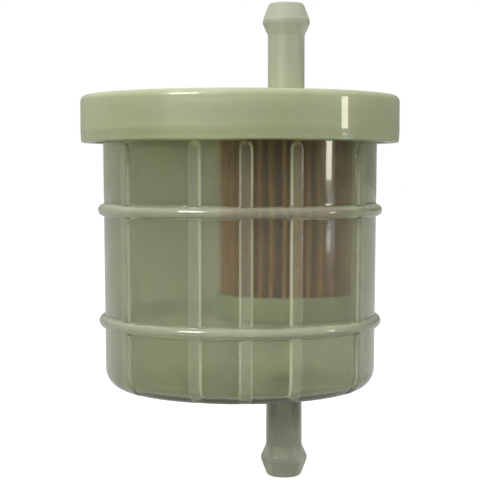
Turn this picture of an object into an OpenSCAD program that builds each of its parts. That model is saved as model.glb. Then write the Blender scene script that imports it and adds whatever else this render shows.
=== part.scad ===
// In-line fuel filter with a pleated paper element.
// Fuel enters the bowl through the lower spigot, passes inward through the paper and leaves
// through the upper spigot. The origin is on the bowl's axis, halfway between the two spigot
// tips. +Z points to the outlet. +X points from the bowl's axis to the inlet.

/* [Overall] */
// Distance between the tips of the two spigots
overall_h = 102; // [98:1:110]

/* [Cap] */
// Outer diameter of the cap
cap_d = 68.6; // [68:0.2:72]
// Height of the cap from its lower edge to its top face
cap_h = 10; // [9.6:0.2:12]
// Thickness of the cap's skirt
cap_wall = 2.4; // [2:0.1:2.6]
// Thickness of the cap's top plate
cap_plate = 2.2; // [2:0.1:2.4]
// Radius of the cap's upper edge
cap_edge_r = 1.2; // [0.6:0.1:1.8]

/* [Bowl] */
// Outer diameter of the bowl at the cap's lower edge
bowl_d = 59; // [59:0.2:60]
// Depth of the bowl below the cap's lower edge
bowl_h = 52.8; // [50:0.2:56]
// Thickness of the bowl's wall and floor
bowl_wall = 1.6; // [1.4:0.1:1.7]
// Radius that the bowl loses between the cap and its lower corner
bowl_draft = 0.4; // [0.2:0.1:0.6]
// Outer radius of the bowl's lower corner
corner_r = 4.5; // [4:0.1:6]
// Radius of the half-round beads of the bowl's rings and ribs
bead_r = 1.3; // [1:0.1:1.5]
// Height that the ribs stand proud of the wall
rib_proud = 0.8; // [0.6:0.1:1]
// Depth of the upper ring below the cap's lower edge
ring_1_depth = 14.4; // [10:0.2:18]
// Depth of the lower ring below the cap's lower edge
ring_2_depth = 38.2; // [34:0.2:42]

/* [Spigots] */
// Outer diameter of a spigot's stem, for an 8 mm hose
stem_d = 7.8; // [7.4:0.1:8.2]
// Bore of both spigots
bore_d = 5; // [4:0.1:5.4]
// Diameter of the barb's crest
barb_d = 10; // [9.4:0.1:10.4]
// Diameter of a spigot's tip
tip_d = 7.4; // [7:0.1:7.8]
// Length of the outlet spigot above the cap
outlet_len = 19.5; // [18:0.5:22]
// Distance of the inlet's axis from the bowl's axis
inlet_offset = 9.6; // [8:0.2:11]
// Distance of the outlet's axis from the bowl's axis
outlet_offset = 10.6; // [9:0.2:10.8]
// Angle between the inlet and the outlet, seen from above
outlet_turn = -24; // [-60:1:60]

/* [Element] */
// Number of pleats in the paper
pleats = 34; // [28:1:36]
// Radius of the paper at its outer folds
paper_r = 14.3; // [13.6:0.1:14.4]
// Radius of the paper at its inner folds
paper_core_r = 7.6; // [7.4:0.1:9]
// Thickness of the paper
paper_t = 0.45; // [0.35:0.05:0.5]
// Outer radius of the dish that closes the element's lower end
dish_r = 15.4; // [15.3:0.1:15.8]
// Height of that dish
dish_h = 5.5; // [4.5:0.1:7]
// Depth of the dish's underside below the cap's lower edge
dish_depth = 37.5; // [30:0.5:42]

/* [Hidden] */
$fn = 96;

// Colours
shell_colour = [0.58, 0.61, 0.48, 0.6];
weld_colour = [0.66, 0.68, 0.54];
paper_colour = [0.50, 0.33, 0.20];
bond_colour = [0.74, 0.67, 0.46];
end_colour = [0.86, 0.86, 0.80];

// Overlap between joined shapes, and the length by which a cut runs past a face
overlap = 0.01;
past = 1;

// Levels
tip_z = overall_h / 2;
cap_top_z = tip_z - outlet_len;
seat_z = cap_top_z - cap_h;
plate_z = cap_top_z - cap_plate;
floor_z = seat_z - bowl_h;
corner_z = floor_z + corner_r;
ring_zs = [seat_z - ring_1_depth, seat_z - ring_2_depth];

// Cap
cap_r = cap_d / 2;
skirt_r = cap_r - cap_wall;
plug_wall = 1.6;
plug_r = bowl_d / 2 - bowl_wall - 0.4;
plug_z = seat_z + 4;

// Bowl
bowl_r = bowl_d / 2;
foot_r = bowl_r - bowl_draft;
bowl_bore_r = bowl_r - bowl_wall;
foot_bore_r = foot_r - bowl_wall;
corner_bore_r = corner_r - bowl_wall;
taper = atan(bowl_draft / (seat_z - corner_z));
weld_h = 1.4;
weld_r = bowl_r + 0.5;
rim_z = plate_z - weld_h;
flange_r = skirt_r - 0.4;
flange_z = seat_z + 0.8;
flange_t = 2.8;
bead_sink = bead_r - rib_proud;
rib_angles = [-54.3, -20, 0, 20, 54.3];
rib_top_gap = 0.3;
rib_hook_r = 3;

// Spigots
bore_r = bore_d / 2;
stem_r = stem_d / 2;
barb_r = barb_d / 2;
tip_r = tip_d / 2;
barb_lead = 3.6;
barb_land = 0.8;
barb_back = 2.4;
tip_round = 0.5;
stub_r = 4.4;

// Element
end_plate_r = 15.3;
end_plate_t = 1.2;
end_plate_top = seat_z + 3.2;
end_plate_z = end_plate_top - end_plate_t;
end_skirt_t = 0.6;
end_skirt_h = 1.2;
neck_fit = 0.05;
neck_r = 6;
neck_h = 3;
bond_t = 0.8;
bond_core_r = 6.6;
paper_embed = 0.5;
paper_top = end_plate_z - bond_t + paper_embed;
dish_z = seat_z - dish_depth;
dish_t = 1.2;
dish_wall = 0.9;
dish_bond_h = 3.2;
dish_bond_z = dish_z + dish_t;
paper_z = dish_bond_z + dish_bond_h - 2;
fold_out = 0.5;
fold_in = 0.08;
seam_top_r = paper_r - paper_t - 0.4;
seam_root_r = seam_top_r - 3.2;
seam_gap = 0.01;

function wall_r(z) = foot_r + bowl_draft * (z - corner_z) / (seat_z - corner_z);
function polar(r, a) = [r * cos(a), r * sin(a)];
function deg_of(width, r) = width / r * 180 / PI;

// Half the width of the pocket inside an outer fold of the paper, at a radius
function pocket_half(r) =
    let (root_half = PI / pleats * paper_core_r - fold_out)
    fold_in + (root_half - fold_in) * (paper_r - paper_t - r) / (paper_r - paper_t - paper_core_r);

// One contour of the paper: flat folds of the given half widths at two radii, turn and turn about.
function pleat_points(r_out, half_out, r_in, half_in) = [
    for (k = [0 : pleats - 1])
        let (
            a = k * 360 / pleats,
            b = a + 180 / pleats,
            da = deg_of(half_out, r_out),
            db = deg_of(half_in, r_in)
        )
        each [polar(r_out, a - da), polar(r_out, a + da), polar(r_in, b - db), polar(r_in, b + db)]
];

module at_outlet() {
    rotate([0, 0, outlet_turn]) translate([outlet_offset, 0, 0]) children();
}

module ring_bead(z) {
    rotate_extrude() translate([wall_r(z), z]) circle(r = bead_r);
}

// A half-round rib down the wall, with a ball end at the top and a hook that sinks into the corner.
module rib(a) {
    rib_len = (seat_z - rib_top_gap - bead_r - corner_z) / cos(taper);
    rotate([0, 0, a]) translate([foot_r - bead_sink, 0, corner_z]) rotate([0, taper, 0]) {
        rotate_extrude() {
            square([bead_r, rib_len]);
            intersection() {
                translate([0, rib_len]) circle(r = bead_r);
                translate([0, rib_len]) square(bead_r + 1);
            }
        }
        translate([-rib_hook_r, 0, 0]) rotate([-90, 0, 0])
            rotate_extrude(angle = 90) translate([rib_hook_r, 0]) circle(r = bead_r);
    }
}

// The outer or inner form of the bowl: a tapered wall over a rounded corner and a flat floor.
module bowl_form(r_top, r_foot, r_corner, z_floor, z_top) {
    z_turn = z_floor + r_corner;
    translate([0, 0, z_turn]) cylinder(h = seat_z - z_turn, r1 = r_foot, r2 = r_top);
    translate([0, 0, seat_z - overlap]) cylinder(h = z_top - seat_z + overlap, r = r_top);
    rotate_extrude() translate([r_foot - r_corner, z_turn]) circle(r = r_corner);
    translate([0, 0, z_floor]) cylinder(h = r_corner + overlap, r = r_foot - r_corner);
}

module bowl() {
    color(shell_colour) difference() {
        union() {
            bowl_form(bowl_r, foot_r, corner_r, floor_z, rim_z);
            translate([0, 0, flange_z]) cylinder(h = flange_t, r = flange_r);
            for (z = ring_zs) ring_bead(z);
            for (side = [-90, 90]) for (a = rib_angles) rib(side + a);
        }
        bowl_form(bowl_bore_r, foot_bore_r, corner_bore_r, floor_z + bowl_wall, rim_z + past);
        translate([inlet_offset, 0, floor_z - past]) cylinder(h = bowl_wall + 2 * past, r = bore_r);
    }
}

// A hose spigot standing on z = 0: stem, barb with a narrow crest, and a rounded tip.
module spigot(len) {
    lead_z = len - barb_lead;
    land_z = lead_z - barb_land;
    back_z = land_z - barb_back;
    difference() {
        union() {
            cylinder(h = back_z + overlap, r = stem_r);
            translate([0, 0, back_z]) cylinder(h = barb_back, r1 = stem_r, r2 = barb_r);
            translate([0, 0, land_z]) cylinder(h = barb_land, r = barb_r);
            translate([0, 0, lead_z])
                cylinder(h = barb_lead - tip_round, r1 = barb_r, r2 = tip_r);
            translate([0, 0, len - tip_round])
                cylinder(h = tip_round, r1 = tip_r, r2 = tip_r - tip_round);
        }
        translate([0, 0, -past]) cylinder(h = len + 2 * past, r = bore_r);
    }
}

module inlet_spigot() {
    color(shell_colour)
        translate([inlet_offset, 0, floor_z]) mirror([0, 0, 1]) spigot(floor_z + tip_z);
}

module outlet_spigot() {
    color(shell_colour) at_outlet() translate([0, 0, cap_top_z]) spigot(outlet_len);
}

// The cap's outer form: a disc with a rounded upper edge.
module cap_form() {
    translate([0, 0, seat_z]) cylinder(h = cap_h - cap_edge_r, r = cap_r);
    translate([0, 0, seat_z]) cylinder(h = cap_h, r = cap_r - cap_edge_r);
    rotate_extrude() translate([cap_r - cap_edge_r, cap_top_z - cap_edge_r]) circle(r = cap_edge_r);
}

// The cap has a skirt round the bowl's rim, a plug ring inside the rim and a stub for the element.
module cap() {
    color(shell_colour) difference() {
        union() {
            difference() {
                cap_form();
                translate([0, 0, seat_z - past]) cylinder(h = plate_z - seat_z + past, r = skirt_r);
            }
            translate([0, 0, plug_z]) difference() {
                cylinder(h = plate_z - plug_z + overlap, r = plug_r);
                translate([0, 0, -past])
                    cylinder(h = plate_z - plug_z + 2 * past, r = plug_r - plug_wall);
            }
            at_outlet() translate([0, 0, end_plate_z])
                cylinder(h = plate_z - end_plate_z + overlap, r = stub_r);
        }
        at_outlet() translate([0, 0, end_plate_z - past])
            cylinder(h = cap_top_z - end_plate_z + 2 * past, r = bore_r);
    }
}

// Plastic melted by the spin weld, between the bowl's rim and the cap's plate.
module weld_bead() {
    color(weld_colour) translate([0, 0, rim_z]) difference() {
        cylinder(h = weld_h, r = weld_r);
        translate([0, 0, -past]) cylinder(h = weld_h + 2 * past, r = bowl_bore_r);
    }
}

module paper_band() {
    outer = pleat_points(paper_r, fold_out, paper_core_r + paper_t, fold_in);
    inner = pleat_points(paper_r - paper_t, fold_in, paper_core_r, fold_out);
    difference() {
        polygon(outer);
        polygon(inner);
    }
}

module filter_paper() {
    color(paper_colour) at_outlet() translate([0, 0, paper_z])
        linear_extrude(height = paper_top - paper_z) paper_band();
}

// Hot-melt strip inside one outer fold, where the two ends of the paper meet.
module paper_seam() {
    low_z = dish_bond_z + dish_bond_h;
    high_z = end_plate_z - bond_t;
    top_half = pocket_half(seam_top_r) - seam_gap;
    root_half = pocket_half(seam_root_r) - seam_gap;
    color(bond_colour) at_outlet() translate([0, 0, low_z]) linear_extrude(height = high_z - low_z)
        polygon([
            [seam_top_r, -top_half],
            [seam_top_r, top_half],
            [seam_root_r, root_half],
            [seam_root_r, -root_half]
        ]);
}

// A plate with a shallow skirt for the adhesive and a neck that fits over the cap's stub.
module upper_end_plate() {
    skirt_z = end_plate_z - end_skirt_h;
    color(end_colour) at_outlet() difference() {
        union() {
            translate([0, 0, skirt_z]) cylinder(h = end_skirt_h + end_plate_t, r = end_plate_r);
            translate([0, 0, end_plate_top - overlap]) cylinder(h = neck_h + overlap, r = neck_r);
        }
        translate([0, 0, skirt_z - past])
            cylinder(h = end_skirt_h + past, r = end_plate_r - end_skirt_t);
        translate([0, 0, end_plate_z - past])
            cylinder(h = end_plate_t + neck_h + 2 * past, r = stub_r + neck_fit);
    }
}

module upper_bond() {
    bond_z = end_plate_z - bond_t;
    color(bond_colour) at_outlet() difference() {
        translate([0, 0, bond_z]) cylinder(h = bond_t, r = end_plate_r - end_skirt_t);
        translate([0, 0, bond_z - past]) cylinder(h = bond_t + 2 * past, r = bond_core_r);
        translate([0, 0, bond_z - past]) linear_extrude(height = paper_embed + past) paper_band();
    }
}

module lower_bond() {
    color(bond_colour) at_outlet() difference() {
        translate([0, 0, dish_bond_z]) cylinder(h = dish_bond_h, r = dish_r - dish_wall);
        translate([0, 0, paper_z]) linear_extrude(height = dish_bond_h) paper_band();
    }
}

module lower_end_dish() {
    color(end_colour) at_outlet() translate([0, 0, dish_z]) difference() {
        cylinder(h = dish_h, r = dish_r);
        translate([0, 0, dish_t]) cylinder(h = dish_h, r = dish_r - dish_wall);
    }
}

bowl();
inlet_spigot();
cap();
outlet_spigot();
weld_bead();
upper_end_plate();
upper_bond();
filter_paper();
paper_seam();
lower_bond();
lower_end_dish();
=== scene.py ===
import math

import bpy
import numpy as np
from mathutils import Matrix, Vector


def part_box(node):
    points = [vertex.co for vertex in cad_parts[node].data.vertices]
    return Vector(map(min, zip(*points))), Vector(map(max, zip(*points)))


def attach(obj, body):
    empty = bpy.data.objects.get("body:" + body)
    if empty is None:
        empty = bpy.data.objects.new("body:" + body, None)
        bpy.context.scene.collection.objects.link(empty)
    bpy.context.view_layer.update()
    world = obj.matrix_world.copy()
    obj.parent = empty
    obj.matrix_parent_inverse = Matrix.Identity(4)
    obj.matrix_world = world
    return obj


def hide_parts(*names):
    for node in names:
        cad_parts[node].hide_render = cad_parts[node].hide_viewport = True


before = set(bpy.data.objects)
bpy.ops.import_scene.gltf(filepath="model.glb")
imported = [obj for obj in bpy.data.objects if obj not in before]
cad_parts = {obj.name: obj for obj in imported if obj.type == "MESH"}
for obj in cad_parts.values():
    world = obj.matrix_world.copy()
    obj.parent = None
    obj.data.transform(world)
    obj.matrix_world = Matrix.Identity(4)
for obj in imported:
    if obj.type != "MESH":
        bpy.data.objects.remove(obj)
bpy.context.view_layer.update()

MM = 0.001


# Places and sizes that the parts in model.glb give, in millimetres

def box_mm(node):
    low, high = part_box(node)
    return np.array(low) / MM, np.array(high) / MM


cap_low, cap_high = box_mm("cap")
bowl_low, bowl_high = box_mm("bowl")
outlet_low, outlet_high = box_mm("outlet_spigot")
inlet_low, inlet_high = box_mm("inlet_spigot")
dish_low, dish_high = box_mm("lower_end_dish")
paper_low, paper_high = box_mm("filter_paper")
plate_low, plate_high = box_mm("upper_end_plate")

AXIS = np.zeros(2)
OUTLET = (outlet_low[:2] + outlet_high[:2]) / 2
INLET = (inlet_low[:2] + inlet_high[:2]) / 2

CAP_R = cap_high[0]
SEAT_Z = cap_low[2]
CAP_TOP = cap_high[2]
FLOOR_Z = bowl_low[2]
RIM_Z = bowl_high[2]
TIP_Z = outlet_high[2]

# Sizes of the two shells, in millimetres, as part.scad has them
CAP_WALL = 2.4
PLATE_Z = CAP_TOP - 2.2
PLUG_Z = SEAT_Z + 4.0
STUB_R = 4.4
STUB_Z = SEAT_Z + 2.0
BOWL_R = 29.5
FOOT_R = 29.1
WALL = 1.6
CORNER_R = 4.5
CORNER_Z = FLOOR_Z + CORNER_R
FLANGE_R = 31.5
FLANGE_Z = SEAT_Z + 0.8
FLANGE_TOP = FLANGE_Z + 2.8
BEAD_R = 1.3
RIB_SINK = 0.5
RIB_HOOK = 3.0
RIB_TOP = SEAT_Z - 1.6
RIB_ANGLES = [side + a for side in (-90, 90) for a in (-54.3, -20, 0, 20, 54.3)]
RING_ZS = (SEAT_Z - 14.4, SEAT_Z - 38.2)

# The spigots' sizes, in the same way
STEM_R = 3.9
BARB_R = 5.0
BORE_R = 2.5
BARB_LEAD = 3.6
BARB_LAND = 0.8
BARB_BACK = 2.4

# Finer shapes that only this model has: the fillet where a spigot meets its shell, a rib's half width,
# the width of its sloping side and how its crown falls away from the middle, and the step round the
# lower edge of the cap
SPIGOT_FILLET = 0.9
RIB_HALF = 1.42
RIB_FLANK = 0.5
RIB_CROWN = 0.04
EDGE_STEP_Z = SEAT_Z + 0.7
EDGE_STEP_H = 0.5


# Mesh tools

def make_object(name, points, faces):
    mesh = bpy.data.meshes.new(name)
    mesh.from_pydata([tuple(p) for p in np.asarray(points) * MM], [], faces)
    mesh.validate()
    mesh.update()
    mesh.polygons.foreach_set("use_smooth", [True] * len(mesh.polygons))
    piece = bpy.data.objects.new(name, mesh)
    bpy.context.scene.collection.objects.link(piece)
    return piece


def signed_volume(points, faces):
    """Positive when the four-sided faces of a closed piece face outwards."""
    a, b, c, d = (points[[face[k] for face in faces]] for k in range(4))
    return float(np.sum(np.cross(a, b) * c + np.cross(a, c) * d)) / 6


def skin(name, rings, closed=True):
    """A closed piece through rings of equal point counts.

    The last ring joins the first one, or both get a flat end.
    """
    points = np.concatenate([np.asarray(r) for r in rings])
    n, count = len(rings[0]), len(rings)
    faces = [] if closed else [tuple(range(n))[::-1], tuple(range((count - 1) * n, count * n))]
    for j in range(count if closed else count - 1):
        a, b = j * n, (j + 1) % count * n
        faces += [(a + i, a + (i + 1) % n, b + (i + 1) % n, b + i) for i in range(n)]
    if signed_volume(points, faces) < 0:
        faces = [face[::-1] for face in faces]
    return make_object(name, points, faces)


def level_ring(angles, centre, radius, z):
    radius = np.broadcast_to(radius, angles.shape)
    return np.stack(
        [
            centre[0] + radius * np.cos(angles),
            centre[1] + radius * np.sin(angles),
            np.broadcast_to(z, angles.shape),
        ],
        axis=1,
    )


# A turn smaller than this, in radians, stays a plain corner
SLIGHT_TURN = 0.02
# The most of a straight that one arc may take up
ARC_SHARE = 0.45


def rounded_path(corners, steps=5, hold=0.12):
    """Points (r, z) along straight lines whose corners (r, z, radius) are rounded by arcs.

    Each arc has a point close before and after it, which keeps the flat faces flat when shaded.
    """
    path = []
    corners = [np.array(c, float) for c in corners]
    for k, corner in enumerate(corners):
        here, radius = corner[:2], corner[2]
        if k in (0, len(corners) - 1) or radius <= 0:
            path.append(here)
            continue
        into = here - corners[k - 1][:2]
        out = corners[k + 1][:2] - here
        room = min(np.linalg.norm(into), np.linalg.norm(out))
        into, out = into / np.linalg.norm(into), out / np.linalg.norm(out)
        turn = math.acos(max(-1.0, min(1.0, float(into @ out))))
        if turn < SLIGHT_TURN:
            path.append(here)
            continue
        reach = min(radius * math.tan(turn / 2), room * ARC_SHARE)
        radius = reach / math.tan(turn / 2)
        start, end = here - into * reach, here + out * reach
        inward = (out - into) / np.linalg.norm(out - into)
        middle = here + inward * math.hypot(reach, radius)
        if room * 0.5 - reach > hold:
            path.append(start - into * hold)
        first, last = start - middle, end - middle
        for i in range(steps + 1):
            t = i / steps
            share = (math.sin((1 - t) * turn), math.sin(t * turn))
            path.append(middle + (first * share[0] + last * share[1]) / math.sin(turn))
        if room * 0.5 - reach > hold:
            path.append(end + out * hold)
    return path


def lathe_rings(angles, centre, path):
    return [level_ring(angles, centre, r, z) for r, z in path]


def soft_max(a, b, blend):
    return (a + b + np.sqrt((a - b) ** 2 + blend**2)) / 2


# The spigots

def spigot_corners(base_z, tip_z):
    """The outside of a hose spigot from its base to its tip, and the mouth of its bore."""
    way = 1 if tip_z > base_z else -1
    crest_z = tip_z - way * BARB_LEAD
    back_z = crest_z - way * BARB_LAND
    return [
        (STEM_R + SPIGOT_FILLET, base_z, 0),
        (STEM_R, base_z, SPIGOT_FILLET),
        (STEM_R, back_z - way * BARB_BACK, 1.2),
        (BARB_R, back_z, 0.5),
        (BARB_R, crest_z, 0.5),
        (3.75, tip_z - way * 0.35, 0.7),
        (3.35, tip_z, 0.35),
        (BORE_R + 0.35, tip_z, 0.15),
        (BORE_R, tip_z - way * 0.35, 0.15),
    ]


# The bowl, with its rings, ribs and inlet

def wall_radius(z):
    share = np.clip((z - CORNER_Z) / (SEAT_Z - CORNER_Z), 0, 1)
    return FOOT_R + (BOWL_R - FOOT_R) * share


# Distances of the mesh's lines from a rib's middle, close together on the rib's sloping side
RIB_LINES = (0, 0.35, 0.65, 0.88, 1.03, 1.13, 1.22, 1.32, 1.45, 1.65, 2.0)
# Angle between the mesh's lines where the wall is plain
PLAIN_STEP = math.radians(2.6)


def bowl_angles():
    """Angles of the mesh's lines round the bowl."""
    across = np.array(RIB_LINES) / BOWL_R
    across = np.concatenate([-across[:0:-1], across])
    ribs = np.radians(sorted(a % 360 for a in RIB_ANGLES))
    angles = []
    for k, rib in enumerate(ribs):
        following = ribs[(k + 1) % len(ribs)] + (2 * math.pi if k == len(ribs) - 1 else 0)
        angles += list(rib + across)
        start, end = rib + across[-1], following + across[0]
        fill = max(2, round((end - start) / PLAIN_STEP))
        angles += list(start + (end - start) * np.arange(1, fill) / fill)
    return np.array(angles)


def rib_distance(angles, radius):
    """Distance along the wall from each angle to the nearest rib's middle line."""
    ribs = np.radians(RIB_ANGLES)
    apart = np.abs((angles[:, None] - ribs[None] + math.pi) % (2 * math.pi) - math.pi)
    return apart.min(axis=1) * radius


def bead_height(angles, z, radius, sink):
    """How far rings and ribs stand out of the wall at a height."""
    above = max(0.0, z - RIB_TOP)
    across = np.hypot(rib_distance(angles, radius), above)
    share = np.clip((RIB_HALF - across) / RIB_FLANK, 0, 1)
    height = (BEAD_R - sink - RIB_CROWN * across**2) * share**2 * (3 - 2 * share)
    for ring_z in RING_ZS:
        ring = math.sqrt(max(BEAD_R**2 - (z - ring_z) ** 2, 0))
        if ring > 0:
            height = np.maximum(height, soft_max(ring, height, 0.12) - 0.02)
    return height


def wall_levels():
    """Heights down the bowl's wall, close together at the rings and at the ribs' tops."""
    ring_steps = [BEAD_R * math.cos(math.radians(a)) for a in range(0, 181, 12)]
    ring_steps += [-1.9, -1.5, 1.5, 1.9]
    levels = {round(ring_z + s, 3) for ring_z in RING_ZS for s in ring_steps}
    levels |= {round(RIB_TOP + BEAD_R * math.sin(math.radians(a)), 3) for a in range(0, 91, 11)}
    levels |= {round(z, 3) for z in np.linspace(CORNER_Z, SEAT_Z - 0.15, 26)}
    return sorted(levels, reverse=True)


def corner_sink(turn):
    """How deep a rib's middle line lies under the corner's surface, at an angle round the corner."""
    best = None
    for step in range(0, 91, 3):
        a = math.radians(step)
        out = CORNER_R - RIB_SINK - RIB_HOOK + RIB_HOOK * math.cos(a)
        down = RIB_HOOK * math.sin(a)
        gap = abs(math.atan2(down, out) - turn)
        if best is None or gap < best[0]:
            best = (gap, CORNER_R - math.hypot(out, down))
    return best[1]


def bowl_rings(angles):
    rim_start = (BOWL_R - WALL + 0.4, RIM_Z, 0)
    rim = [
        rim_start,
        (BOWL_R, RIM_Z, 0.25),
        (BOWL_R, FLANGE_TOP, 0.3),
        (FLANGE_R, FLANGE_TOP, 0.5),
        (FLANGE_R, FLANGE_Z, 0.5),
        (BOWL_R, FLANGE_Z, 0.4),
        (BOWL_R, SEAT_Z, 0),
    ]
    rings = lathe_rings(angles, AXIS, rounded_path(rim))
    for z in wall_levels():
        radius = wall_radius(z)
        height = bead_height(angles, z, radius, RIB_SINK)
        rings.append(level_ring(angles, AXIS, radius + height, z))
    for step in range(4, 91, 4):
        turn = math.radians(step)
        radius = FOOT_R - CORNER_R + CORNER_R * math.cos(turn)
        z = CORNER_Z - CORNER_R * math.sin(turn)
        height = bead_height(angles, CORNER_Z, radius, corner_sink(turn))
        height = height * (1 - step / 90) ** 0.3
        out, down = height * math.cos(turn), height * math.sin(turn)
        rings.append(level_ring(angles, AXIS, radius + out, z - down))
    rings.append(level_ring(angles, AXIS, FOOT_R - CORNER_R - 0.3, FLOOR_Z))
    rings.append(level_ring(angles, INLET, STEM_R + 1.2, FLOOR_Z))
    inner_z = FLOOR_Z + WALL
    inner_r = FOOT_R - WALL
    inner_corner = CORNER_R - WALL
    spigot = rounded_path(spigot_corners(FLOOR_Z, -TIP_Z) + [(BORE_R, inner_z, 0)])
    rings += lathe_rings(angles, INLET, spigot)
    rings.append(level_ring(angles, INLET, BORE_R + 0.2, inner_z))
    inside = [
        (inner_r - inner_corner - 1, inner_z, 0),
        (inner_r, inner_z, inner_corner),
        (BOWL_R - WALL, SEAT_Z, 0),
        (BOWL_R - WALL, RIM_Z, 0.2),
        rim_start,
    ]
    rings += lathe_rings(angles, AXIS, rounded_path(inside, steps=8)[:-1])
    return rings


def points_of(piece):
    """Places in millimetres and normals of a piece's points."""
    mesh = piece.data
    places, normals = (np.empty(len(mesh.vertices) * 3) for _ in range(2))
    mesh.vertices.foreach_get("co", places)
    mesh.vertex_normals.foreach_get("vector", normals)
    return places.reshape(-1, 3) / MM, normals.reshape(-1, 3)


def mark(piece, name, values):
    """Notes a value from 0 to 1 on each point, for the material to use."""
    attribute = piece.data.attributes.new(name, "FLOAT", "POINT")
    attribute.data.foreach_set("value", np.clip(values, 0, 1).astype(np.float32))


# How far from a shell its spigot takes on its full tone
SPIGOT_FADE = 1.5
# Height over the wall at which a bead has its full milk, and the least that counts as a bead
BEAD_FULL = 0.74
BEAD_LEAST = 0.02
# How far in from a ring's edges its milk is full
RING_EDGE = 0.4
# Height up the cap over which its lower part's tone fades out
LOW_PART = 6.0


def mark_bowl(piece):
    """Notes where ribs and rings stand out of the wall, the ribs' sloping sides, which get a painted
    highlight and more milk, and the spigot.
    """
    places, normals = points_of(piece)
    x, y, z = places.T
    out = np.hypot(x, y)
    rise = np.minimum(z - CORNER_Z, 0)
    bend = np.maximum(out - (FOOT_R - CORNER_R), 0)
    reach = np.hypot(rise, bend)
    on_corner = (rise < 0) & (bend > 0)
    proud = np.where(on_corner, reach - CORNER_R, out - wall_radius(z))
    level = np.where(on_corner, bend / np.maximum(reach, 1e-9), 1.0)
    down = np.where(on_corner, np.sqrt(1 - level**2), 0)
    wall_normal = np.stack([level * x / out, level * y / out, -down], axis=1)
    steep = np.sqrt(np.maximum(1 - np.sum(normals * wall_normal, axis=1) ** 2, 0))
    bead = (proud > BEAD_LEAST) & (z < SEAT_Z - 0.3) & (out > FOOT_R - CORNER_R)
    mark(piece, "proud", np.where(bead, proud / BEAD_FULL, 0))
    from_ring = np.min([abs(z - ring_z) for ring_z in RING_ZS], axis=0)
    on_ring = bead & (from_ring < BEAD_R)
    # The ribs' sloping sides, which get a painted highlight and more milk: nothing on slopes under a
    # third, and all of it on upright sides
    mark(piece, "flank_highlight_and_milk", np.where(bead & ~on_ring, steep * 1.5 - 0.5, 0))
    mark(piece, "ring", np.where(on_ring, (BEAD_R - from_ring) / RING_EDGE, 0))
    mark(piece, "spigot", (FLOOR_Z - z) / SPIGOT_FADE)


def mark_cap(piece):
    """Notes the spigot, the cap's lower part, and its faces that look down or inwards."""
    places, normals = points_of(piece)
    x, y, z = places.T
    inward = -(x * normals[:, 0] + y * normals[:, 1]) / np.hypot(x, y)
    hidden = np.maximum(inward, -normals[:, 2]) * 2
    mark(piece, "spigot", (z - CAP_TOP) / SPIGOT_FADE)
    mark(piece, "low", 1 - (z - SEAT_Z) / LOW_PART)
    mark(piece, "inside", np.where(z < CAP_TOP - 1, hidden, 0))


# The cap, with its outlet

def cap_rings(angles):
    plug_r = BOWL_R - WALL - 0.4
    plug_inner_r = plug_r - WALL
    skirt_r = CAP_R - CAP_WALL
    top = [
        (skirt_r, PLATE_Z - 0.5, 0),
        (skirt_r, SEAT_Z, 0.2),
        (CAP_R - 0.12, SEAT_Z, 0.6),
        (CAP_R - 0.12, EDGE_STEP_Z, 0.0),
        (CAP_R - 0.07, EDGE_STEP_Z + EDGE_STEP_H, 0.0),
        (CAP_R, SEAT_Z + 2.4, 8.0),
        (CAP_R, CAP_TOP, 1.3),
        (STEM_R + 8, CAP_TOP, 0),
    ]
    rings = lathe_rings(angles, AXIS, rounded_path(top)[:-1])
    spigot = rounded_path(spigot_corners(CAP_TOP, TIP_Z) + [(BORE_R, STUB_Z + 0.3, 0)])
    rings += lathe_rings(angles, OUTLET, spigot)
    stub = [
        (BORE_R, STUB_Z + 0.3, 0),
        (BORE_R + 0.2, STUB_Z, 0),
        (STUB_R, STUB_Z, 0.3),
        (STUB_R, PLATE_Z, 0.5),
        (STUB_R + 0.8, PLATE_Z, 0),
    ]
    rings += lathe_rings(angles, OUTLET, rounded_path(stub)[1:])
    under = [
        (plug_inner_r - 0.6, PLATE_Z, 0),
        (plug_inner_r, PLATE_Z, 0.4),
        (plug_inner_r, PLUG_Z, 0.3),
        (plug_r, PLUG_Z, 0.4),
        (plug_r, PLATE_Z, 0.2),
        (skirt_r, PLATE_Z, 0.4),
        (skirt_r, PLATE_Z - 0.5, 0),
    ]
    rings += lathe_rings(angles, AXIS, rounded_path(under)[:-1])
    return rings


# The weld and the element

def wave(angles, seed, terms, amplitude):
    """A smooth, repeatable unevenness round a circle."""
    source = np.random.default_rng(seed)
    total = np.zeros_like(angles)
    for k in terms:
        total += source.normal() * np.sin(k * angles + source.uniform(0, 2 * math.pi)) / len(terms)
    return total * amplitude


def weld_rings(angles):
    """A flattened bead of melted plastic with an uneven outer edge."""
    rings = []
    low, high = RIM_Z + 0.02, PLATE_Z - 0.02
    middle, half = (low + high) / 2, (high - low) / 2
    edge = BOWL_R + 0.25 + wave(angles, 5, range(7, 40), 0.35)
    inner = BOWL_R - WALL + 0.15
    for step in range(0, 181, 20):
        a = math.radians(step)
        rings.append(level_ring(angles, AXIS, edge + 0.2 * math.sin(a), middle + half * math.cos(a)))
    rings.append(level_ring(angles, AXIS, inner, low))
    rings.append(level_ring(angles, AXIS, inner, high))
    return rings


PLEATS = 34
PLEAT_STEP = 2 * math.pi / PLEATS
PAPER_T = 0.42
PAPER_R = (paper_high[0] - paper_low[0]) / 2
PAPER_CORE = 7.6
OUTER_FOLD_R = 0.29
INNER_FOLD_R = 0.27
FOLD_TURNS = [math.radians(a) for a in np.linspace(-90, 90, 7)]


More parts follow.
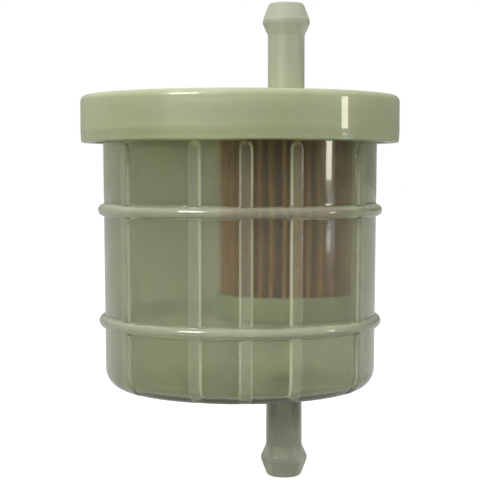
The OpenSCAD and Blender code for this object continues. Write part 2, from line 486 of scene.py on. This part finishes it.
def pleat_line(height):
    """The middle line of the pleated paper, with small differences from pleat to pleat."""
    source = np.random.default_rng(11)
    lean = source.normal(0, 0.07, PLEATS)
    depth = source.uniform(0.0, 0.25, PLEATS)
    phase = source.uniform(0, 2 * math.pi, PLEATS)
    swing = source.uniform(0.02, 0.09, PLEATS)
    points = []
    outer = PAPER_R - PAPER_T / 2
    inner = PAPER_CORE + PAPER_T / 2
    for k in range(PLEATS):
        sway = swing[k] * math.sin(2.4 * math.pi * height + phase[k])
        middle = (k + lean[k] + sway) * PLEAT_STEP
        root = (k + 0.5) * PLEAT_STEP
        for a in FOLD_TURNS:
            r = outer - depth[k] - OUTER_FOLD_R * (1 - math.cos(a))
            points.append((r, middle + OUTER_FOLD_R * math.sin(a) / r))
        for a in FOLD_TURNS:
            r = inner + INNER_FOLD_R * (1 - math.cos(a))
            points.append((r, root + INNER_FOLD_R * math.sin(a) / r))
    r, a = np.array(points).T
    return np.stack([r * np.cos(a), r * np.sin(a)], axis=1)


def offset_line(line, distance):
    along = np.roll(line, -1, axis=0) - np.roll(line, 1, axis=0)
    along /= np.linalg.norm(along, axis=1)[:, None]
    return line + np.stack([along[:, 1], -along[:, 0]], axis=1) * distance


def paper_rings():
    low, high = paper_low[2], paper_high[2]
    levels = np.linspace(low, high, 13)
    outside, inside = [], []
    for z in levels:
        line = pleat_line((z - low) / (high - low))
        for distance, side in ((PAPER_T / 2, outside), (-PAPER_T / 2, inside)):
            flat = offset_line(line, distance) + OUTLET
            side.append(np.column_stack([flat, np.full(len(flat), z)]))
    return outside + inside[::-1]


DISH_R = (dish_high[0] - dish_low[0]) / 2
DISH_WALL = 0.9
DISH_FLOOR_Z = dish_low[2] + 1.2
END_PLATE_R = (plate_high[0] - plate_low[0]) / 2
END_PLATE_SKIRT = 0.6
END_PLATE_TOP = STUB_Z + 1.2
NECK_R = 6.0
NECK_BORE_R = 4.45


def dish_rings(angles):
    """The lower end dish, with a foot round its underside."""
    radius = DISH_R
    low, high = dish_low[2], dish_high[2]
    path = rounded_path(
        [
            (2.0, DISH_FLOOR_Z, 0),
            (radius - DISH_WALL, DISH_FLOOR_Z, 0.3),
            (radius - DISH_WALL, high, 0.3),
            (radius, high, 0.35),
            (radius, low, 0.9),
            (radius - 3.2, low, 0.2),
            (radius - 3.5, low + 0.25, 0.2),
            (2.0, low + 0.25, 0),
        ]
    )
    return lathe_rings(angles, OUTLET, path)


# How deep each run of adhesive is, and how far the pleats ripple its surface
LOWER_BOND_H = 3.0
UPPER_BOND_H = 0.9
RIPPLE = 0.12


def lower_bond_rings(angles):
    """Adhesive in the dish, drawn up a little against its wall and at each pleat."""
    radius = DISH_R - DISH_WALL
    low = DISH_FLOOR_Z
    top = low + LOWER_BOND_H
    ripple = RIPPLE * np.cos(PLEATS * angles) + wave(angles, 3, range(2, 9), 0.3)
    rings = [level_ring(angles, OUTLET, 1.0, low + 0.02)]
    rings.append(level_ring(angles, OUTLET, radius - 0.3, low + 0.02))
    rings.append(level_ring(angles, OUTLET, radius - 0.02, low + 0.3))
    for inset, rise in ((0.02, 0.45), (0.1, 0.25), (0.25, 0.12), (0.5, 0.04), (1.0, 0.0)):
        rings.append(level_ring(angles, OUTLET, radius - inset, top + rise + ripple * min(1, inset * 2)))
    for r in (radius - 3, PAPER_CORE + 1, PAPER_CORE - 0.5, 4.0, 1.0):
        rings.append(level_ring(angles, OUTLET, r, top + ripple * (0.6 if r > PAPER_CORE else 0.0)))
    return rings


def upper_bond_rings(angles):
    """Adhesive under the end plate, with a lip that hangs a little lower at its outer edge."""
    radius = plate_high[0] - OUTLET[0] - END_PLATE_SKIRT - 0.05
    high = STUB_Z - 0.02
    ripple = RIPPLE * np.cos(PLEATS * angles) + wave(angles, 8, range(2, 9), 0.2)
    low = high - UPPER_BOND_H
    rings = [level_ring(angles, OUTLET, PAPER_CORE - 0.8, high)]
    rings.append(level_ring(angles, OUTLET, PAPER_CORE - 0.9, high - 0.4))
    for r in (PAPER_CORE - 0.5, PAPER_CORE + 1, radius - 3, radius - 1, radius - 0.4):
        rings.append(level_ring(angles, OUTLET, r, low - 0.1 * ripple))
    rings.append(level_ring(angles, OUTLET, radius - 0.05, low - 0.25 + 0.1 * ripple))
    rings.append(level_ring(angles, OUTLET, radius, high - 0.4))
    rings.append(level_ring(angles, OUTLET, radius - 0.1, high))
    return rings


def plate_rings(angles):
    """The upper end plate, with a short skirt down and a neck up round the cap's stub."""
    low, high = plate_low[2], plate_high[2]
    inner_r = END_PLATE_R - END_PLATE_SKIRT
    start = (inner_r, STUB_Z - 0.3, 0)
    corners = [
        start,
        (inner_r, low, 0.15),
        (END_PLATE_R, low, 0.2),
        (END_PLATE_R, END_PLATE_TOP, 0.6),
        (NECK_R, END_PLATE_TOP, 0.6),
        (NECK_R, high, 0.5),
        (NECK_BORE_R, high, 0.2),
        (NECK_BORE_R, STUB_Z, 0.15),
        (inner_r, STUB_Z, 0.3),
        start,
    ]
    return lathe_rings(angles, OUTLET, rounded_path(corners)[:-1])


SEAM_LEVELS = 24
SEAM_W = 3.0
SEAM_OUTER_T = 0.09
SEAM_INNER_T = 0.18


def seam_rings():
    """A thin strip of hot melt in one pleat's pocket, with an uneven inner edge."""
    outer_r = PAPER_R - PAPER_T - 0.55
    levels = np.linspace(DISH_FLOOR_Z + LOWER_BOND_H + 0.1, STUB_Z - UPPER_BOND_H, SEAM_LEVELS)
    edge = wave(np.linspace(0, 6, SEAM_LEVELS), 21, range(1, 6), 0.6)
    rings = []
    for z, wander in zip(levels, edge):
        inner_r = outer_r - SEAM_W + wander
        corners = [
            (outer_r, -SEAM_OUTER_T / 2),
            (outer_r, SEAM_OUTER_T / 2),
            (inner_r, SEAM_INNER_T / 2),
            (inner_r, -SEAM_INNER_T / 2),
        ]
        rings.append([(OUTLET[0] + x, OUTLET[1] + y, z) for x, y in corners])
    return rings


# Materials

def linear(red, green, blue):
    """A colour given as it looks on screen, 0 to 255, as linear light."""
    shown = [c / 255 for c in (red, green, blue)]
    return tuple(c / 12.92 if c <= 0.04045 else ((c + 0.055) / 1.055) ** 2.4 for c in shown) + (1.0,)


class Nodes:
    """A node tree, with short calls for the plain nodes used here."""

    def __init__(self, tree):
        self.tree = tree

    def add(self, kind):
        return self.tree.nodes.new("ShaderNode" + kind)

    def join(self, output, socket):
        self.tree.links.new(output, socket)

    def axis(self, places, name):
        """One of a place's or a direction's coordinates, X, Y or Z."""
        node = self.add("SeparateXYZ")
        self.join(places, node.inputs[0])
        return node.outputs[name]

    def span(self, value, low, high, to_low, to_high):
        """A value mapped from one span of numbers to another, whose ends may be outputs."""
        node = self.add("MapRange")
        names = ("From Min", "From Max", "To Min", "To Max")
        for name, number in zip(names, (low, high, to_low, to_high)):
            self.feed(number, node.inputs[name])
        self.join(value, node.inputs["Value"])
        return node.outputs[0]

    def combine(self, operation, first, second):
        node = self.add("Math")
        node.operation = operation
        self.join(first, node.inputs[0])
        self.join(second, node.inputs[1])
        return node.outputs[0]

    def blend(self, share, first, second):
        """A colour between two, each given as a colour or an output."""
        node = self.add("Mix")
        node.data_type = "RGBA"
        self.join(share, node.inputs[0])
        self.feed(first, node.inputs[6])
        self.feed(second, node.inputs[7])
        return node.outputs[2]

    def feed(self, value, socket):
        if isinstance(value, bpy.types.NodeSocket):
            self.join(value, socket)
        else:
            socket.default_value = value


class Shader(Nodes):
    """A material with its Principled node."""

    def __init__(self, name):
        self.material = bpy.data.materials.new(name)
        self.material.use_nodes = True
        super().__init__(self.material.node_tree)
        self.surface = self.tree.nodes["Principled BSDF"]
        self.places = self.add("TexCoord").outputs["Object"]

    def set(self, **values):
        for name, value in values.items():
            self.surface.inputs[name.replace("_", " ")].default_value = value

    def link(self, output, name):
        self.join(output, self.surface.inputs[name])

    def source(self, name):
        """The output that feeds one of the surface's inputs."""
        return self.surface.inputs[name].links[0].from_socket

    def stretched(self, x, y, z):
        node = self.add("Mapping")
        node.inputs["Scale"].default_value = (x, y, z)
        self.join(self.places, node.inputs["Vector"])
        return node.outputs[0]

    def noise(self, scale, detail=3.0, rough=0.5, places=None):
        node = self.add("TexNoise")
        node.inputs["Scale"].default_value = scale
        node.inputs["Detail"].default_value = detail
        node.inputs["Roughness"].default_value = rough
        self.join(places or self.places, node.inputs["Vector"])
        return node.outputs["Fac"]

    def attribute(self, name):
        """A value that mark() noted on the piece's points."""
        node = self.add("Attribute")
        node.attribute_name = name
        return node.outputs["Fac"]

    def bump(self, height, strength, distance):
        node = self.add("Bump")
        node.inputs["Strength"].default_value = strength
        node.inputs["Distance"].default_value = distance
        self.join(height, node.inputs["Height"])
        self.link(node.outputs[0], "Normal")


def shell_plastic(name, pale, deep, see_through, haze):
    """Milky moulded plastic: cloudy colour, a hazy inside and a glossy skin."""
    shader = Shader(name)
    flow = shader.noise(55, 3.0, 0.55, shader.stretched(1, 1, 0.35))
    colour = shader.blend(shader.span(flow, 0.35, 0.65, 0, 1), pale, deep)
    smear = shader.noise(160, 2.0)
    shader.link(shader.span(smear, 0.3, 0.7, haze - 0.03, haze + 0.05), "Roughness")
    shader.link(colour, "Base Color")
    shader.set(Transmission_Weight=see_through, IOR=1.45)
    shader.set(Coat_Weight=0.9, Coat_Roughness=0.035, Coat_IOR=1.5, Coat_Tint=(0.985, 1.0, 0.93, 1))
    shader.bump(shader.noise(900, 2.0), 0.12, 0.00005)
    return shader


# The share of each stretch of plastic that is clear, where milk scatters the light in the rest
BOWL_CLEAR = 0.965
RIB_CLEAR = 0.88
INLET_CLEAR = 0.66
CAP_CLEAR = 0.55
CAP_INSIDE_CLEAR = 0.95
OUTLET_CLEAR = 0.7
# What the ribs' sloping sides and the rings take off that share
FLANK_MILK = 0.35
RING_MILK = 0.11

SPIGOT_COLOUR = linear(204, 206, 196)


def bowl_material():
    """The clearer plastic of the bowl, which is milkier where its ribs and rings make it thick, with a
    painted highlight along the ribs' sloping sides.
    """
    pale, deep = linear(220, 221, 208), linear(208, 210, 187)
    shader = shell_plastic("bowl_plastic", pale, deep, BOWL_CLEAR, 0.155)
    marks = ("proud", "flank_highlight_and_milk", "ring", "spigot")
    proud, flank_highlight_and_milk, ring, spigot = (shader.attribute(name) for name in marks)
    cloud = shader.noise(220, 3.0, 0.6, shader.stretched(1, 1, 0.5))
    cloud = shader.span(cloud, 0.35, 0.7, 0, 0.4)
    colour = shader.blend(cloud, shader.source("Base Color"), linear(200, 206, 196))
    # Painted highlight: a pale cream colour on the ribs' sloping sides stands in for the bright outlines
    # that light gives the rib edges
    colour = shader.blend(shader.span(flank_highlight_and_milk, 0, 1, 0, 0.8), colour, linear(240, 240, 204))
    shader.link(shader.blend(spigot, colour, SPIGOT_COLOUR), "Base Color")
    clear = shader.span(proud, 0, 1, BOWL_CLEAR, RIB_CLEAR)
    taken = ((flank_highlight_and_milk, FLANK_MILK), (ring, RING_MILK), (spigot, BOWL_CLEAR - INLET_CLEAR))
    for share, milk in taken:
        clear = shader.combine("SUBTRACT", clear, shader.span(share, 0, 1, 0, milk))
    shader.link(clear, "Transmission Weight")
    return shader.material


def cap_material():
    """The milkier plastic of the cap, darker and yellower low down and clearer where it faces the inside.
    """
    shader = shell_plastic("cap_plastic", linear(209, 212, 184), linear(195, 200, 165), CAP_CLEAR, 0.35)
    spigot, low, inside = (shader.attribute(name) for name in ("spigot", "low", "inside"))
    cloud = shader.span(shader.noise(260, 3.0, 0.6), 0.35, 0.7, 0, 0.3)
    colour = shader.blend(cloud, shader.source("Base Color"), linear(186, 193, 172))
    colour = shader.blend(shader.span(low, 0, 1, 0, 0.6), colour, linear(190, 196, 148))
    shader.link(shader.blend(spigot, colour, SPIGOT_COLOUR), "Base Color")
    clear = shader.span(spigot, 0, 1, CAP_CLEAR, OUTLET_CLEAR)
    clearer = shader.span(inside, 0, 1, 0, CAP_INSIDE_CLEAR - CAP_CLEAR)
    clear = shader.combine("ADD", clear, clearer)
    shader.link(clear, "Transmission Weight")
    return shader.material


def paper_material():
    shader = Shader("pleated_paper")
    fibres = shader.noise(2600, 4.0, 0.65, shader.stretched(1, 1, 0.35))
    blotches = shader.noise(180, 3.0)
    colour = shader.blend(shader.span(fibres, 0.3, 0.7, 0, 1), linear(182, 122, 60), linear(226, 168, 92))
    colour = shader.blend(shader.span(blotches, 0.35, 0.75, 0, 0.45), colour, linear(140, 88, 48))
    shader.link(colour, "Base Color")
    shader.set(Roughness=0.9, Specular_IOR_Level=0.2)
    shader.bump(fibres, 0.5, 0.0001)
    return shader.material


def bond_material():
    shader = Shader("adhesive")
    cloud = shader.noise(300, 3.0)
    shader.link(shader.blend(cloud, linear(196, 186, 140), linear(222, 214, 172)), "Base Color")
    shader.set(Roughness=0.35, Subsurface_Weight=0.3, Subsurface_Scale=0.002)
    shader.bump(shader.noise(700, 2.0), 0.3, 0.0001)
    return shader.material


def end_material():
    shader = Shader("end_plastic")
    cloud = shader.noise(140, 3.0)
    shader.link(shader.blend(cloud, linear(186, 192, 172), linear(205, 210, 192)), "Base Color")
    shader.link(shader.span(shader.noise(400, 2.0), 0.3, 0.7, 0.38, 0.5), "Roughness")
    shader.set(Subsurface_Weight=0.2, Subsurface_Scale=0.002)
    shader.bump(shader.noise(1200, 2.0), 0.15, 0.00005)
    return shader.material


def weld_material():
    shader = Shader("weld_plastic")
    flow = shader.noise(260, 4.0)
    shader.link(shader.blend(flow, linear(176, 182, 148), linear(200, 205, 170)), "Base Color")
    shader.set(Roughness=0.3, Transmission_Weight=0.25, IOR=1.45)
    shader.bump(shader.noise(500, 3.0), 0.4, 0.0002)
    return shader.material


def add_piece(piece, material, record_slot, *nodes):
    piece.data.materials.append(material)
    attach(piece, "root")
    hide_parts(*nodes)


def build_filter():
    round_fine = np.radians(np.arange(0, 360, 360 / 256))
    round_plain = np.radians(np.arange(0, 360, 360 / 128))
    adhesive = bond_material()
    end_plastic = end_material()
    bowl = skin("bowl_shell", bowl_rings(bowl_angles()))
    mark_bowl(bowl)
    add_piece(bowl, bowl_material(), "bowl", "bowl", "inlet_spigot")
    cap = skin("cap_shell", cap_rings(round_fine))
    mark_cap(cap)
    add_piece(cap, cap_material(), "cap", "cap", "outlet_spigot")
    weld = skin("weld_flash", weld_rings(round_fine))
    add_piece(weld, weld_material(), "weld", "weld_bead")
    paper = skin("pleated_paper", paper_rings())
    add_piece(paper, paper_material(), "paper", "filter_paper")
    dish = skin("element_dish", dish_rings(round_plain))
    add_piece(dish, end_plastic, "end_plate", "lower_end_dish")
    plate = skin("element_plate", plate_rings(round_plain))
    add_piece(plate, end_plastic, "end_plate", "upper_end_plate")
    lower_bond = skin("dish_adhesive", lower_bond_rings(round_fine))
    add_piece(lower_bond, adhesive, "adhesive", "lower_bond")
    upper_bond = skin("plate_adhesive", upper_bond_rings(round_fine))
    add_piece(upper_bond, adhesive, "adhesive", "upper_bond")
    seam = skin("seam_adhesive", seam_rings(), closed=False)
    add_piece(seam, adhesive, "adhesive", "paper_seam")


# Studio, in metres but for the floor's own sizes, which are in millimetres

# Brightness of the room that lights the filter: at the camera's side and behind the filter, the
# share that the left side gains and the right side loses, and how many times brighter it is overhead
ROOM_FRONT = 0.12
ROOM_BACK = 0.365
ROOM_SLANT = 0.45
ROOM_SKY = 3.5
ROOM_TINT = (1.0, 1.0, 0.85, 1)
WHITE = (1.0, 1.0, 1.0, 1)

FLOOR_GAP = 0.05
FLOOR_REACH = 3000
# How far before and behind the filter, in metres, the floor goes from the front's glow to the back's
FLOOR_FADE = 0.1

WARM = (1.0, 0.95, 0.82)
COOL = (0.55, 0.75, 1.0)

CAMERA_DISTANCE = 0.303
CAMERA_HEIGHT = 0.0156
CAMERA_TURN = math.radians(-2.3)
CAMERA_TILT = math.radians(2.86)
SENSOR_MM = 36.0
LENS_MM = 104.775


def add_light(name, place, size, power, shine_only, colour=WHITE[:3]):
    """A lamp aimed at the filter that either only shines in glossy reflections or never does."""
    light = bpy.data.lights.new(name, "AREA")
    light.shape = "RECTANGLE"
    light.size, light.size_y = size
    light.energy = power
    light.color = colour
    lamp = bpy.data.objects.new(name, light)
    lamp.location = place
    lamp.visible_camera = False
    lamp.visible_glossy = shine_only
    lamp.visible_diffuse = lamp.visible_transmission = not shine_only
    aim = -lamp.location
    lamp.rotation_euler = aim.to_track_quat("-Z", "Y").to_euler()
    bpy.context.scene.collection.objects.link(lamp)


def floor_material():
    """Plain white as the camera sees it, and a dimmer glow, stronger at the back, for other rays."""
    shader = Shader("pale_floor")
    grain = shader.noise(2.0, 2.0)
    shader.link(shader.blend(grain, linear(92, 92, 92), linear(98, 98, 98)), "Base Color")
    shader.set(Roughness=0.9, Specular_IOR_Level=0.1, Emission_Color=WHITE)
    behind = shader.axis(shader.places, "Y")
    glow = shader.span(behind, -FLOOR_FADE, FLOOR_FADE, ROOM_FRONT * 1.5, ROOM_BACK)
    seen = shader.add("LightPath").outputs["Is Camera Ray"]
    shader.link(shader.span(seen, 0, 1, glow, 1.0), "Emission Strength")
    return shader.material


def build_floor():
    floor_z = -TIP_Z - FLOOR_GAP
    ends = ((-1, -1), (1, -1), (1, 1), (-1, 1))
    corners = [(x * FLOOR_REACH, y * FLOOR_REACH, floor_z) for x, y in ends]
    floor = make_object("floor", corners, [(0, 1, 2, 3)])
    floor.data.materials.append(floor_material())


def build_room():
    """A room that is white as the camera sees it, and dimmer and uneven for other rays."""
    world = bpy.data.worlds.new("studio")
    bpy.context.scene.world = world
    world.use_nodes = True
    room = Nodes(world.node_tree)
    background = room.tree.nodes["Background"]
    seen = room.add("LightPath").outputs["Is Camera Ray"]
    direction = room.add("TexCoord").outputs["Generated"]
    level = room.span(room.axis(direction, "Y"), -0.6, 0.6, ROOM_FRONT, ROOM_BACK)
    slant = room.span(room.axis(direction, "X"), -1, 1, 1 + ROOM_SLANT, 1 - ROOM_SLANT)
    overhead = room.span(room.axis(direction, "Z"), 0.1, 1, 1, ROOM_SKY)
    level = room.combine("MULTIPLY", level, slant)
    level = room.combine("MULTIPLY", level, overhead)
    room.join(room.blend(seen, ROOM_TINT, WHITE), background.inputs["Color"])
    room.join(room.span(seen, 0, 1, level, 1.0), background.inputs["Strength"])


def build_lamps():
    """Small lamps for the highlights, and two large ones for the light."""
    add_light("strip_right", (0.72, -0.205, 0.0545), (0.075, 0.11), 0.3, True, WARM)
    add_light("strip_low", (0.72, -0.205, -0.044), (0.06, 0.014), 0.012, True, WARM)
    add_light("cool_right", (0.7, -0.16, -0.06), (0.1, 0.1), 0.04, True, COOL)
    add_light("streak_left", (-0.5, -0.53, 0.4), (0.3, 0.3), 2.8, True)
    add_light("softbox", (-0.38, -0.6, 0.7), (1.2, 1.2), 16.5, False)
    add_light("fill_right", (0.75, -0.4, 0.6), (0.9, 0.9), 7.0, False)


def build_studio():
    build_floor()
    build_room()
    build_lamps()
    bpy.context.scene.view_settings.view_transform = "Standard"


def build_camera():
    data = bpy.data.cameras.new("camera")
    data.sensor_width = SENSOR_MM
    data.lens = LENS_MM
    data.clip_start = 0.01
    camera = bpy.data.objects.new("camera", data)
    out = (math.sin(CAMERA_TURN), -math.cos(CAMERA_TURN))
    camera.location = (CAMERA_DISTANCE * out[0], CAMERA_DISTANCE * out[1], CAMERA_HEIGHT)
    camera.rotation_euler = (math.pi / 2 - CAMERA_TILT, 0, CAMERA_TURN)
    bpy.context.scene.collection.objects.link(camera)
    bpy.context.scene.camera = camera


build_filter()
build_studio()
build_camera()
